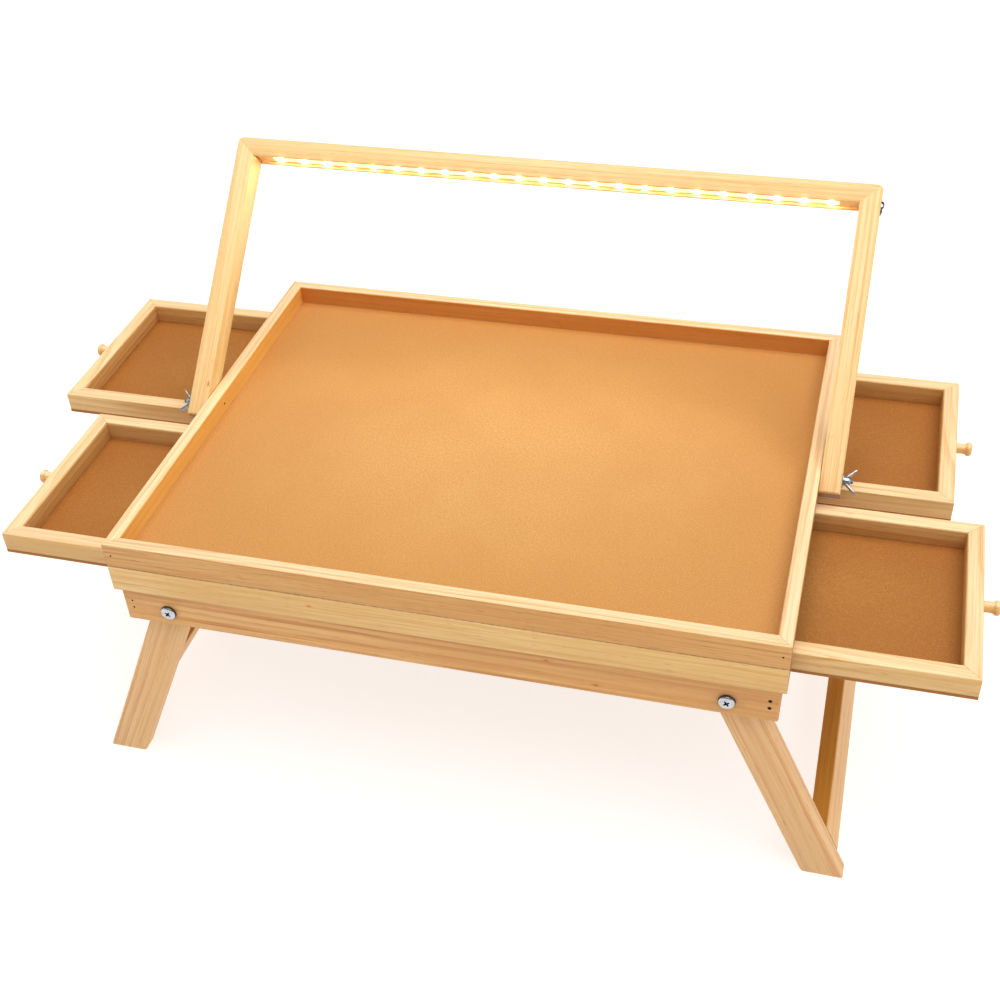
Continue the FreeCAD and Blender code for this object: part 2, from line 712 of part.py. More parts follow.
def build():
    pieces = {}
    sections = (
        tray, drawer_case, apron, leg_frames, leg_fasteners, drawers, lamp, lamp_fasteners, wing_nuts
    )
    for section in sections:
        pieces.update(section())
    return pieces


os.makedirs("parts", exist_ok=True)
for name, shape in build().items():
    shape.exportStep(f"parts/{name}.step")
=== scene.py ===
import json
import math
import random

import bmesh
import bpy
from mathutils import Euler, Matrix, Vector


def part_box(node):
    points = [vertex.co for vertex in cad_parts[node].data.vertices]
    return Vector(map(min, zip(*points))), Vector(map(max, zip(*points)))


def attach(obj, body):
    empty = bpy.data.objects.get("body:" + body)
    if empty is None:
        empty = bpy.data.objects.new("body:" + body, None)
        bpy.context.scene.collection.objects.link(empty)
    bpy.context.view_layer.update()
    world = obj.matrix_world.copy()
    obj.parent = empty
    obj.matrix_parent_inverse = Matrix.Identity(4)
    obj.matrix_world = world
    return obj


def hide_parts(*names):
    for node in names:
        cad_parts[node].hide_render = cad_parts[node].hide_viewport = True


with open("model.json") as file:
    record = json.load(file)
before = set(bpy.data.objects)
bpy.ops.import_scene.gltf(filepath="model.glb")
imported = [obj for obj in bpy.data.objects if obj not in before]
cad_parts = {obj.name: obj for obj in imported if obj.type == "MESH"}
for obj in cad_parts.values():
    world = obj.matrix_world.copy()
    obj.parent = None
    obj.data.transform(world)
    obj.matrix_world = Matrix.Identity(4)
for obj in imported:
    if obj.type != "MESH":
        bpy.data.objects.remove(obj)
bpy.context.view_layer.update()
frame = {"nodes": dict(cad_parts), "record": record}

# A folding jigsaw table with four drawers and a tilting lamp arch.  +Z is up, +X runs along the long
# side and -Y faces the sitter.  The origin is the centre of the puzzle board's top face.
# Lengths are in metres, and mm() turns the workshop's millimetres into them.  Colours are given as
# they are read off a screen, 0 to 255, and linear() turns them into a shader's.

X = Vector((1, 0, 0))
Y = Vector((0, 1, 0))
NOWHERE = Vector((0, 0, 0))


def mm(*lengths):
    """Millimetres in metres: one number, or a vector of three."""
    if len(lengths) == 1:
        return lengths[0] / 1000
    return Vector(lengths) / 1000


LAMP_LEAN = math.radians(47.5)
LEG_SPLAY = math.radians(24)
BOARD_EDGE = mm(0.55)             # sanded edge of the boards
INNER_EDGE = mm(0.2)              # the same inside the drawer case
MERGE_WITHIN = 1e-6               # corners nearer than this become one

UP_THE_LAMP = Vector((0, math.sin(LAMP_LEAN), math.cos(LAMP_LEAN)))
DOWN_RIGHT_LEG = Vector((math.sin(LEG_SPLAY), 0, -math.cos(LEG_SPLAY)))
DOWN_LEFT_LEG = Vector((-math.sin(LEG_SPLAY), 0, -math.cos(LEG_SPLAY)))

DRAWERS = ("front_left", "back_left", "front_right", "back_right")

BODY_OF = {
    node: body
    for body, nodes in frame["record"]["behaviour"]["bodies"].items()
    for node in nodes
}


def middle(name):
    low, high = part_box(name)
    return (low + high) / 2


def half_size(name):
    low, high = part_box(name)
    return (high - low) / 2


# ---------------------------------------------------------------- node tools

def feed(tree, socket, value):
    """Joins an output to the socket, or sets the socket to a plain value."""
    if isinstance(value, bpy.types.NodeSocket):
        tree.links.new(value, socket)
    else:
        socket.default_value = value


def add(tree, kind, inputs=None, **settings):
    """A shader node with its settings and what is fed to its inputs."""
    made = tree.nodes.new("ShaderNode" + kind)
    for key, value in settings.items():
        setattr(made, key, value)
    for key, value in (inputs or {}).items():
        feed(tree, made.inputs[key], value)
    return made


def maths(tree, operation, *values):
    return add(tree, "Math", dict(enumerate(values)), operation=operation).outputs[0]


def stretched(tree, vector, scale):
    """The vector with each of its parts multiplied."""
    return add(tree, "VectorMath", {0: vector, 1: scale}, operation="MULTIPLY").outputs[0]


def length_of(tree, vector):
    return add(tree, "VectorMath", {0: vector}, operation="LENGTH").outputs["Value"]


def part_of(tree, vector, axis):
    return add(tree, "SeparateXYZ", {0: vector}).outputs[axis]


def outward(tree):
    """The way the surface faces."""
    return add(tree, "TexCoord").outputs["Normal"]


def facing(tree, direction):
    """1 where the surface faces this way, 0 where it is side on and -1 where it faces away."""
    made = add(tree, "VectorMath", {0: outward(tree), 1: direction}, operation="DOT_PRODUCT")
    return made.outputs["Value"]


def noise(tree, vector, scale=1.0, detail=2.0, roughness=0.5):
    made = add(tree, "TexNoise", {
        "Vector": vector, "Scale": scale, "Detail": detail, "Roughness": roughness,
    })
    return made.outputs["Fac"]


def spread(tree, value, low, high, to_low=0.0, to_high=1.0):
    """Low to high becomes to_low to to_high, with a soft start and end."""
    made = add(tree, "MapRange", {
        "Value": value, "From Min": low, "From Max": high, "To Min": to_low, "To Max": to_high,
    }, interpolation_type="SMOOTHSTEP")
    return made.outputs["Result"]


def blended(tree, share, first, second, how="MIX"):
    """The first colour with this share of the second laid over it."""
    made = add(tree, "Mix", {"Factor": share, 6: first, 7: second}, data_type="RGBA",
               blend_type=how)
    return made.outputs[2]


def shader_group(name, inputs, outputs):
    """An empty node group with the named sockets; returns its tree, input and output nodes."""
    tree = bpy.data.node_groups.new(name, "ShaderNodeTree")
    kinds = {"vector": "NodeSocketVector", "number": "NodeSocketFloat", "colour": "NodeSocketColor"}
    for label, kind in inputs.items():
        tree.interface.new_socket(label, in_out="INPUT", socket_type=kinds[kind])
    for label, kind in outputs.items():
        tree.interface.new_socket(label, in_out="OUTPUT", socket_type=kinds[kind])
    return tree, tree.nodes.new("NodeGroupInput").outputs, tree.nodes.new("NodeGroupOutput")


def place_group(tree, group, values):
    made = tree.nodes.new("ShaderNodeGroup")
    made.node_tree = group
    for label, value in values.items():
        feed(tree, made.inputs[label], value)
    return made.outputs


def new_material(name):
    """A material; returns it, its tree and the inputs of its Principled shader."""
    material = bpy.data.materials.new(name)
    material.use_nodes = True
    tree = material.node_tree
    return material, tree, tree.nodes["Principled BSDF"].inputs


def on_piece(tree, direction=X, centre=NOWHERE, pith=NOWHERE):
    """Coordinates along a piece: its centre moves to the origin, its long direction to X, then the
    whole is shifted to where the tree's pith runs along X."""
    turn = Vector(direction).rotation_difference(X).to_matrix()
    place = add(tree, "TexCoord").outputs["Object"]
    return add(tree, "Mapping", {
        "Vector": place,
        "Rotation": turn.to_euler(),
        "Location": Vector(pith) - turn @ Vector(centre),
    }).outputs["Vector"]


def bump(tree, height, strength, distance):
    made = add(tree, "Bump", {"Height": height, "Strength": strength, "Distance": distance})
    return made.outputs["Normal"]


def linear(red, green, blue):
    """A colour as it is read off a screen, 0 to 255, made linear for a shader."""
    parts = [value / 255 for value in (red, green, blue)]
    curve = [p / 12.92 if p <= 0.04045 else ((p + 0.055) / 1.055) ** 2.4 for p in parts]
    return (*curve, 1.0)


# ---------------------------------------------------------------- pine

# How many waves of each marking there are in a metre of the tree, along its grain and across it.
WAVES = {
    "drift": (2.4, 9), "ripple": (14, 40), "fibre": (22, 900), "streak": (3.2, 210),
    "line": (5, 620), "cloud": (5, 18), "fleck": (60, 1100),
}
# End grain: darker of itself, and darker still as painted shade.
END_GRAIN_AND_SHADE = linear(150, 98, 54)
# Painted light on the tops: their colours for pale and dark wood.
PAINTED_TOP_PALE = linear(250, 229, 194)
PAINTED_TOP_DARK = linear(228, 182, 124)
# Painted shade along the seam between the tray and case rails.
SEAM_SHADE = linear(132, 92, 54)
KNOT_HALO = linear(206, 138, 66)
KNOT_HEART = linear(170, 98, 40)
# Painted shade in and round the nail holes.
HOLE_SHADE = linear(26, 19, 14)

# Stacks of boards: pale and dark wood, the cast of their clouds, how much paler the tops are painted
# as if lit from above (painted light), how strong rings and streaks show, and in millimetres the
# width of a ring, how far the rings wander, and how far away the pith lies across (Y) and through
# (Z) the board.
STACKS = {
    "tan": dict(pale=(233, 189, 127), dark=(203, 144, 80), cast=(222, 168, 102), painted_top_light=0.8,
                ring=4.6, figure=0.5, streaks=0.4, wander=16, pith=(60, 75)),
    "cream": dict(pale=(239, 206, 149), dark=(212, 157, 86), cast=(226, 184, 120), painted_top_light=0.65,
                  ring=8.0, figure=0.4, streaks=0.2, wander=34, pith=(30, 62)),
    "orange": dict(pale=(236, 192, 132), dark=(194, 132, 70), cast=(220, 168, 106), painted_top_light=0.2,
                   ring=3.4, figure=0.5, streaks=0.7, wander=12, pith=(85, 12)),
    "banded": dict(pale=(241, 204, 152), dark=(220, 154, 88), cast=(234, 194, 140), painted_top_light=0.2,
                   ring=13, figure=0.42, streaks=0.25, wander=16, pith=(26, 90)),
    "lamp": dict(pale=(246, 216, 162), dark=(226, 168, 92), cast=(240, 204, 144), painted_top_light=0.2,
                 ring=6.5, figure=0.38, streaks=0.2, wander=5, pith=(74, 68)),
}

# Boards with one face given painted light or painted shade, paler where light falls on that face and
# darker where it lies in shade: which way that face looks, its painted colour, how much of it shows,
# and how it is laid over the wood.
FACE_LIGHT_AND_SHADE = {
    "tray_rail_left": (X, (255, 204, 104), 0.5, "MIX"),
    "tray_rail_back": (-Y, (212, 132, 48), 0.5, "MIX"),
    "tray_rail_right": (-X, (255, 240, 206), 0.5, "MIX"),
    "crossbar_right": (-DOWN_RIGHT_LEG, (223, 203, 129), 1.0, "MULTIPLY"),
    "crossbar_left": (-DOWN_LEFT_LEG, (227, 208, 140), 1.0, "MULTIPLY"),
    "lamp_leg_left": (X, (255, 236, 180), 0.5, "MIX"),
    "lamp_leg_right": (-X, (255, 236, 180), 0.5, "MIX"),
}

# Small knots in a board's face, with their size.
KNOTS = {
    "apron_front": ((mm(192, -309, -85), mm(1.6)), (mm(134, -309, -58), mm(1.3))),
    "apron_back": ((mm(-60, 309, -80), mm(1.8)),),
    "case_rail_front": ((mm(-148, -315, -24), mm(1.0)),),
    "lamp_leg_left": ((mm(-408, 10.4, 38.7), mm(1.1)),),
    "drawer_front_right_sides": ((mm(444.8, -29.2, -9.5), mm(1.4)),),
    "leg_back_left": ((mm(-400, 285, -200), mm(2.4)),),
}

NAIL_RADIUS = mm(0.9)
# The dark rims round nail holes are painted shade of the holes.
TRAY_HOLE = mm(1.1)               # how far the dark rim of a nail's hole reaches
APRON_LEFT_HOLE = mm(1.2)
APRON_RIGHT_HOLE = mm(2.2)
EMPTY_HOLE = (mm(-388, 7.7, 11.6), mm(1.6))   # in the left rail's inner face


def sunk_nails(node):
    """Where holes show in a board's faces, and how far the painted shade round them reaches."""
    low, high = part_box("tray_nails" if "tray" in node else "apron_nails")
    face = low.y if "front" in node else high.y
    left, right = low.x + NAIL_RADIUS, high.x - NAIL_RADIUS
    if node in ("tray_rail_front", "tray_rail_back"):
        level = (low.z + high.z) / 2
        return [(Vector((x, face, level)), TRAY_HOLE) for x in (left, right)]
    if node in ("apron_front", "apron_back"):
        return [
            (Vector((x, face, z)), size)
            for x, size in ((left, APRON_LEFT_HOLE), (right, APRON_RIGHT_HOLE))
            for z in (low.z + NAIL_RADIUS, high.z - NAIL_RADIUS)
        ]
    if node == "tray_rail_left":
        return [EMPTY_HOLE]
    return []


def marking(tree, grain, kind, detail, roughness=0.5):
    """Noise that is drawn out along the grain."""
    along, across = WAVES[kind]
    return noise(tree, stretched(tree, grain, (along, across, across)), 1.0, detail, roughness)


def pine_figure():
    """Growth rings about the X axis, with fibres, streaks and resin flecks along it."""
    tree, given, outlet = shader_group("pine_figure", {
        "Grain": "vector", "Direction": "vector", "Ring": "number", "Wander": "number",
        "Figure": "number", "Streaks": "number", "Painted Top Light": "number",
        "Pale": "colour", "Dark": "colour", "Cast": "colour",
    }, {"Color": "colour", "Roughness": "number", "Height": "number"})
    grain = given["Grain"]

    # Rings: the distance from the pith, wandering, in years; each year darkens late.
    radius = length_of(tree, stretched(tree, grain, (0, 1, 1)))
    drift = maths(tree, "SUBTRACT", marking(tree, grain, "drift", 1.0), 0.5)
    ripple = maths(tree, "SUBTRACT", marking(tree, grain, "ripple", 2.0), 0.5)
    ripple = maths(tree, "MULTIPLY", ripple, 0.16)
    sway = maths(tree, "MULTIPLY", maths(tree, "ADD", drift, ripple), given["Wander"])
    years = maths(tree, "DIVIDE", maths(tree, "ADD", radius, sway), given["Ring"])
    season = maths(tree, "FRACT", years)
    year = maths(tree, "FLOOR", years)
    vigour = add(tree, "TexWhiteNoise", {"W": year}, noise_dimensions="1D").outputs["Value"]
    rising = spread(tree, season, 0.34, 0.88)
    falling = spread(tree, season, 0.9, 1.0, 1.0, 0.0)
    late = maths(tree, "MULTIPLY", rising, falling)
    late = maths(tree, "MULTIPLY", late, spread(tree, vigour, 0.0, 1.0, 0.25, 1.0))

    # Tone: 0 is pale wood and 1 is dark, from the rings, fibres, broad streaks and fine lines.
    fibre = marking(tree, grain, "fibre", 3.0, 0.65)
    streak = spread(tree, marking(tree, grain, "streak", 3.0), 0.34, 0.7, -0.3, 0.8)
    line = marking(tree, grain, "line", 3.0, 0.75)
    tone = maths(tree, "MULTIPLY", late, given["Figure"])
    tone = maths(tree, "ADD", tone, spread(tree, fibre, 0.3, 0.75, -0.06, 0.2))
    tone = maths(tree, "ADD", tone, maths(tree, "MULTIPLY", streak, given["Streaks"]))
    tone = maths(tree, "ADD", tone, spread(tree, line, 0.4, 0.66, -0.14, 0.34))
    tone = add(tree, "Clamp", {"Value": tone}).outputs[0]
    colour = blended(tree, tone, given["Pale"], given["Dark"])

    # Clouds of the cast, dark resin flecks, and the sawn end grain, darker as end grain is and
    # darker still as painted shade.
    cloud = marking(tree, grain, "cloud", 2.0)
    colour = blended(tree, spread(tree, cloud, 0.35, 0.7, 0.0, 0.7), colour, given["Cast"])
    fleck = spread(tree, marking(tree, grain, "fleck", 0.0), 0.72, 0.8, 0.0, 0.35)
    colour = blended(tree, fleck, colour, given["Dark"], "MULTIPLY")
    end = maths(tree, "ABSOLUTE", facing(tree, given["Direction"]))
    colour = blended(tree, spread(tree, end, 0.8, 0.95, 0.0, 0.8), colour, END_GRAIN_AND_SHADE)

    # Tops are made paler as painted light, as light from above would make them.
    top = part_of(tree, outward(tree), "Z")
    top = spread(tree, maths(tree, "ADD", top, maths(tree, "MULTIPLY", ripple, 0.8)), 0.5, 0.95)
    top = maths(tree, "MULTIPLY", top, given["Painted Top Light"])
    colour = blended(tree, top, colour, blended(tree, tone, PAINTED_TOP_PALE, PAINTED_TOP_DARK))

    height = maths(tree, "ADD", fibre, maths(tree, "MULTIPLY", late, 0.6))
    rough = spread(tree, fibre, 0.25, 0.8, 0.46, 0.62)
    for label, socket in (("Color", colour), ("Roughness", rough), ("Height", height)):
        feed(tree, outlet.inputs[label], socket)
    return tree


PINE_FIGURE = pine_figure()


def painted_face_light_and_shade(tree, colour, direction, cast, most, how):
    """The wood with painted light or painted shade on the one face that looks this way."""
    share = spread(tree, facing(tree, direction), 0.5, 0.85, 0.0, most)
    return blended(tree, share, colour, linear(*cast), how)


def knotted(tree, colour, knot, size, direction):
    """The wood with a small knot, in a halo that is drawn out along the grain."""
    place = on_piece(tree, direction, knot)
    away = length_of(tree, stretched(tree, place, (0.4 / size, 1 / size, 1 / size)))
    away = maths(tree, "ADD", away, maths(tree, "MULTIPLY", noise(tree, place, 320, 2.0), 0.8))
    colour = blended(tree, spread(tree, away, 0.8, 3.2, 0.55, 0.0), colour, KNOT_HALO)
    return blended(tree, spread(tree, away, 0.6, 1.4, 0.85, 0.0), colour, KNOT_HEART)


def hole_shaded(tree, colour, nail, size):
    """The wood darkened round a hole: painted shade, as a sunk nail's hole would cast."""
    away = length_of(tree, on_piece(tree, X, nail))
    rim = spread(tree, away, size * 0.9, size * 1.2, 0.98, 0.0)
    return blended(tree, rim, colour, HOLE_SHADE)


def seam_shaded(tree, colour, height):
    """The wood with an uneven dark line along the seam at this height: painted shade of the gap
    between the boards.
    """
    place = add(tree, "TexCoord").outputs["Object"]
    gap = maths(tree, "SUBTRACT", part_of(tree, place, "Z"), height)
    uneven = noise(tree, stretched(tree, place, (130, 130, 0)), detail=3.0)
    gap = maths(tree, "SUBTRACT", maths(tree, "ABSOLUTE", gap),
                spread(tree, uneven, 0.3, 0.7, mm(-0.25), mm(0.6)))
    return blended(tree, spread(tree, gap, mm(0.1), mm(0.9), 0.45, 0.0), colour, SEAM_SHADE)


def pine(node, stack, direction, seam=None):
    """Pine for one board: its own stretch of the stack, its own pith and a small change of tone."""
    draw = random.Random(node)
    given = STACKS[stack]
    material, tree, shader = new_material("pine_" + node)
    side = draw.choice((-1, 1))
    pith = mm(
        draw.uniform(0, 9000),
        side * given["pith"][0] * draw.uniform(0.9, 1.15),
        side * given["pith"][1] * draw.uniform(0.9, 1.15),
    )
    tone = draw.uniform(0.89, 0.97)
    colours = {
        label: tuple(part * tone for part in linear(*given[label])[:3]) + (1.0,)
        for label in ("pale", "dark", "cast")
    }
    wood = place_group(tree, PINE_FIGURE, {
        "Grain": on_piece(tree, direction, middle(node), pith), "Direction": direction,
        "Ring": mm(given["ring"]) * draw.uniform(0.85, 1.2), "Wander": mm(given["wander"]),
        "Figure": given["figure"], "Streaks": given["streaks"], "Painted Top Light": given["painted_top_light"],
        "Pale": colours["pale"], "Dark": colours["dark"], "Cast": colours["cast"],
    })
    colour = wood["Color"]
    # Painted light or painted shade on one face.
    if node in FACE_LIGHT_AND_SHADE:
        colour = painted_face_light_and_shade(tree, colour, *FACE_LIGHT_AND_SHADE[node])
    for knot, size in KNOTS.get(node, ()):
        colour = knotted(tree, colour, knot, size, direction)
    # Painted shade round the nail holes.
    for nail, size in sunk_nails(node):
        colour = hole_shaded(tree, colour, nail, size)
    # Painted shade along the seam.
    if seam is not None:
        colour = seam_shaded(tree, colour, seam)
    feed(tree, shader["Base Color"], colour)
    feed(tree, shader["Roughness"], wood["Roughness"])
    feed(tree, shader["Specular IOR Level"], 0.5)
    feed(tree, shader["Coat Weight"], 0.2)
    feed(tree, shader["Coat Roughness"], 0.38)
    feed(tree, shader["Normal"], bump(tree, wood["Height"], 0.25, mm(0.15)))
    return material


# ---------------------------------------------------------------- other finishes

# Fibre board: its face, its pale flecks, and the shade between its fibres, which also stands as
# painted shade towards its edges.
PUZZLE_BOARD = dict(face=(229, 187, 126), fleck=(238, 200, 142), shade=(206, 157, 96))
DRAWER_FLOOR = dict(face=(196, 146, 80), fleck=(210, 160, 96), shade=(176, 122, 60))
GRIT_SHADE = linear(230, 218, 204)

# Plated and bare steel: its colour, that of its dulled patches, and how rough it is.
METALS = {
    "zinc_plate": ((188, 192, 198), (150, 156, 164), 0.26),
    "zinc_thread": ((178, 182, 188), (142, 148, 156), 0.3),
    "cast_zinc": ((184, 188, 194), (132, 137, 145), 0.24),
    "blackened_steel": ((74, 76, 80), (50, 51, 54), 0.3),
    # Dark steel made nearly black, also as painted shade of the sunk nail holes.
    "nail_steel_dark": ((44, 36, 30), (30, 25, 21), 0.5),
    "bolt_chrome": ((206, 209, 213), (176, 180, 186), 0.14),
    "recess_shadow": ((52, 52, 54), (34, 34, 36), 0.5),
    # Painted dark reflection for the rounded rim of the bolt heads.
    "rim_dark_reflection": ((116, 118, 122), (84, 86, 90), 0.3),
}


def hardboard(name, node, face, fleck, shade):
    """Pressed fibre board: fine short fibres with lighter and darker flecks, paler in the
    middle and darker towards its edges as painted light and painted shade."""
    material, tree, shader = new_material(name)
    face, fleck, shade = linear(*face), linear(*fleck), linear(*shade)
    reach = half_size(node)
    place = on_piece(tree, X, middle(node))
    fine = noise(tree, place, 400, 4.0, 0.75)
    felt = noise(tree, stretched(tree, place, (150, 420, 420)), 1.0, 3.0, 0.6)
    cloud = noise(tree, place, 9.0, 2.0)
    colour = blended(tree, spread(tree, fine, 0.3, 0.7), shade, face)
    colour = blended(tree, spread(tree, felt, 0.58, 0.78, 0.0, 0.55), colour, fleck)
    colour = blended(tree, spread(tree, cloud, 0.35, 0.7, 0.0, 0.25), colour, shade)
    # Painted light in the middle and painted shade towards the edges.
    from_middle = length_of(tree, stretched(tree, place, (1 / reach.x, 1 / reach.y, 0)))
    painted_shade_reach = maths(tree, "ADD", from_middle, maths(tree, "MULTIPLY", cloud, 0.3))
    colour = blended(tree, spread(tree, painted_shade_reach, 0.2, 1.3), colour, shade)
    grit = noise(tree, place, 760, 2.0, 0.8)
    pits = spread(tree, grit, 0.36, 0.64, 0.5, 0.0)
    colour = blended(tree, pits, colour, GRIT_SHADE, "MULTIPLY")
    colour = blended(tree, spread(tree, grit, 0.52, 0.74, 0.0, 0.45), colour, fleck)
    feed(tree, shader["Base Color"], colour)
    feed(tree, shader["Roughness"], spread(tree, fine, 0.3, 0.7, 0.5, 0.68))
    feed(tree, shader["Normal"], bump(tree, maths(tree, "ADD", fine, felt), 0.3, mm(0.12)))
    return material


def metal(name):
    """Plated or bare steel: a fine brushed unevenness and dulled patches."""
    colour, dull, rough = METALS[name]
    material, tree, shader = new_material(name)
    place = on_piece(tree)
    fine = noise(tree, place, 2400, 3.0)
    cloud = noise(tree, place, 260, 2.0)
    patches = spread(tree, cloud, 0.4, 0.7, 0.0, 0.6)
    roughness = maths(tree, "ADD", spread(tree, fine, 0.3, 0.7, rough * 0.8, rough * 1.2),
                      spread(tree, cloud, 0.4, 0.7, 0.0, 0.06))
    feed(tree, shader["Base Color"], blended(tree, patches, linear(*colour), linear(*dull)))
    feed(tree, shader["Roughness"], roughness)
    feed(tree, shader["Metallic"], 1.0)
    feed(tree, shader["Normal"], bump(tree, fine, 0.08, mm(0.02)))
    return material


# ---------------------------------------------------------------- modelling tools

def select_none():
    bpy.ops.object.select_all(action="DESELECT")


def only(piece):
    """Nothing but this piece selected, and active."""
    select_none()
    piece.select_set(True)
    bpy.context.view_layer.objects.active = piece


def edit(piece):
    """Into edit mode with nothing selected."""
    only(piece)
    bpy.ops.object.mode_set(mode="EDIT")
    bpy.ops.mesh.select_all(action="DESELECT")


def leave_edit():
    bpy.ops.object.mode_set(mode="OBJECT")


def pick_faces(piece, test):
    """In edit mode, selects just the faces whose centre and normal pass the test."""
    bpy.ops.mesh.select_all(action="DESELECT")
    bpy.ops.mesh.select_mode(type="FACE")
    shape = bmesh.from_edit_mesh(piece.data)
    for face in shape.faces:
        if test(piece.matrix_world @ face.calc_center_median(), face.normal):
            face.select_set(True)
    bmesh.update_edit_mesh(piece.data)


def add_modifier(piece, kind, **settings):
    """Adds a modifier and applies it."""
    only(piece)
    modifier = piece.modifiers.new(kind.lower(), kind)
    for key, value in settings.items():
        setattr(modifier, key, value)
    bpy.ops.object.modifier_apply(modifier=modifier.name)


def apply_place():
    bpy.ops.object.transform_apply(location=True, rotation=True, scale=True)


def finish_mesh(piece, angle=30):
    """Merges, turns the faces outwards, puts the place in the mesh and smooths the round parts."""
    edit(piece)
    bpy.ops.mesh.select_all(action="SELECT")
    bpy.ops.mesh.remove_doubles(threshold=MERGE_WITHIN)
    bpy.ops.mesh.normals_make_consistent(inside=False)
    leave_edit()
    apply_place()
    bpy.ops.object.shade_smooth_by_angle(angle=math.radians(angle))


def lathe(name, steps, seat, direction, sides):
    """A turned piece.  It starts as a disc and is drawn out along its axis; each step is a distance
    from the seat and a radius, in millimetres."""
    steps = [(mm(distance), mm(radius)) for distance, radius in steps]
    direction = Vector(direction)
    start, radius = steps[0]
    select_none()
    bpy.ops.mesh.primitive_circle_add(
        vertices=sides, radius=radius, fill_type="NGON", location=seat + direction * start,
        rotation=direction.to_track_quat("Z", "Y").to_euler(),
    )
    piece = bpy.context.active_object
    piece.name = name
    bpy.ops.object.mode_set(mode="EDIT")
    for distance, next_radius in steps[1:]:
        bpy.ops.mesh.extrude_region_move(
            TRANSFORM_OT_translate={"value": direction * (distance - start)}
        )
        share = next_radius / radius
        bpy.ops.transform.resize(
            value=(share, share, share), center_override=seat + direction * distance
        )
        start, radius = distance, next_radius
    leave_edit()
    return piece


def copy_of(piece, name, matrix):
    """A copy with its own mesh, moved by the matrix; a mirroring matrix is turned right way out."""
    twin = piece.copy()
    twin.data = piece.data.copy()
    twin.name = name
    bpy.context.scene.collection.objects.link(twin)
    twin.data.transform(matrix)
    if matrix.determinant() < 0:
        twin.data.flip_normals()
    return twin


def mirror(*signs):
    return Matrix.Diagonal((*signs, 1.0))


def about(seat, matrix):
    """The same turn or mirroring about the seat instead of the origin."""
    return Matrix.Translation(seat) @ matrix @ Matrix.Translation(-seat)


def fit(piece, node, material=None):
    """Gives a finished piece its body and any material passed, and lets it stand for its CAD node.
    """
    if material:
        piece.data.materials.clear()
        piece.data.materials.append(material)
    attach(piece, BODY_OF[node])
    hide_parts(node)


def sanded(node, material, edge=BOARD_EDGE):
    """A board with its sharp edges sanded, in place of the CAD node's own shape."""
    source = frame["nodes"][node]
    piece = source.copy()
    piece.data = source.data.copy()
    piece.parent = None
    for key in list(piece.keys()):
        del piece[key]
    piece.name = node + "_board"
    bpy.context.scene.collection.objects.link(piece)
    only(piece)
    bpy.ops.mesh.customdata_custom_splitnormals_clear()
    edit(piece)
    bpy.ops.mesh.select_all(action="SELECT")
    bpy.ops.mesh.remove_doubles(threshold=MERGE_WITHIN)
    bpy.ops.mesh.dissolve_limited(angle_limit=math.radians(1))
    leave_edit()
    add_modifier(piece, "BEVEL", width=edge, segments=2, limit_method="ANGLE",
                 angle_limit=math.radians(40), use_clamp_overlap=True)
    finish_mesh(piece, 35)
    fit(piece, node, material)


def paint_cad(node, material):
    frame["nodes"][node].material_slots[0].material = material


# ---------------------------------------------------------------- boards

def board(node, stack, direction, edge=BOARD_EDGE, seam=None):
    sanded(node, pine(node, stack, direction, seam), edge)


def sawn_boards():
    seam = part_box("tray_rail_front")[0].z
    for side in ("front", "back"):
        board(f"tray_rail_{side}", "tan", X, seam=seam)
        board(f"case_rail_{side}", "cream", X, seam=seam)
        board(f"apron_{side}", "orange", X)
    for side, down in (("left", DOWN_LEFT_LEG), ("right", DOWN_RIGHT_LEG)):
        board(f"tray_rail_{side}", "tan", Y, seam=seam)
        board(f"apron_{side}", "orange", Y)
        board(f"crossbar_{side}", "banded", Y)
        board(f"leg_front_{side}", "banded", down)
        board(f"leg_back_{side}", "banded", down)
        board(f"lamp_leg_{side}", "lamp", UP_THE_LAMP)
    board("lamp_top_rail", "lamp", X)
    for drawer in DRAWERS:
        for part, direction in (("face", Y), ("inner", Y), ("sides", X)):
            board(f"drawer_{drawer}_{part}", "cream", direction)
    for node, direction in (("case_divider", X), ("drawer_runner_centre", X),
                            ("drawer_runners_side", X), ("drawer_stops", Y)):
        board(node, "cream", direction, edge=INNER_EDGE)


def fibre_boards():
    """The puzzle board, and the browner floors of the drawers."""
    paint_cad("tray_board", hardboard("puzzle_board_face", "tray_board", **PUZZLE_BOARD))
    for drawer in DRAWERS:
        node = f"drawer_{drawer}_floor"
        paint_cad(node, hardboard("drawer_floor_" + drawer, node, **DRAWER_FLOOR))


def tenons():
    for side in ("left", "right"):
        node = f"crossbar_tenons_{side}"
        paint_cad(node, pine(node, "cream", Y))


# ---------------------------------------------------------------- knobs

# Steps for the lathe are a distance from the seat and a radius there, in millimetres.
KNOB_PROFILE = [
    (0, 7.1), (12, 7.1), (12.2, 7.0), (15, 6.7), (19, 6.5), (22.5, 6.7), (24.6, 7.2),
    (25.4, 8.0), (26.1, 8.6), (27.2, 8.88), (28.6, 8.88), (29.5, 8.75), (30.4, 8.1),
    (31.3, 7.15), (31.8, 6.3), (32, 5.4), (31.8, 4.2), (31.5, 2.2), (31.4, 0.6),
]


